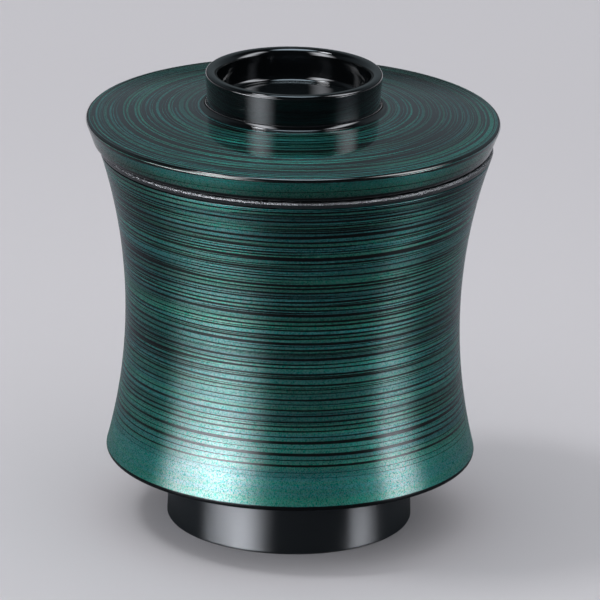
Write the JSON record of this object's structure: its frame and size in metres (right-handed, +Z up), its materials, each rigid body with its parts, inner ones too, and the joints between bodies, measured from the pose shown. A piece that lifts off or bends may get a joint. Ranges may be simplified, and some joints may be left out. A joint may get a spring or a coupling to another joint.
{
  "type": "lidded soup bowl",
  "caption": "Small lidded soup bowl with a waisted drum-like body, a foot ring and a domed lid that lifts off by its ring grip, in lacquered resin with green brushed round black.",
  "frame": {"origin": "on the table, under the middle of the bowl, at the foot ring's lower face", "axes": "+Z up along the bowl's turning axis; -Y is the front, seen in the picture"},
  "size_m": [0.0778, 0.0778, 0.0881],
  "materials": {
    "brushed_green": "pearl green brushed in turning streaks over black, under clear gloss lacquer",
    "gloss_black": "plain black gloss lacquer"
  },
  "bodies": {
    "bowl": {"bowl_sleeve": "brushed_green", "inner_cup": "gloss_black", "foot_ring": "gloss_black"},
    "lid": {"lid_disc": "brushed_green", "grip_ring": "gloss_black"}
  },
  "joints": [
    {"name": "lid_lift", "type": "slide", "parent": "bowl", "child": "lid", "axis": [0, 0, 1], "range_m": [0, 0.1]}
  ]
}
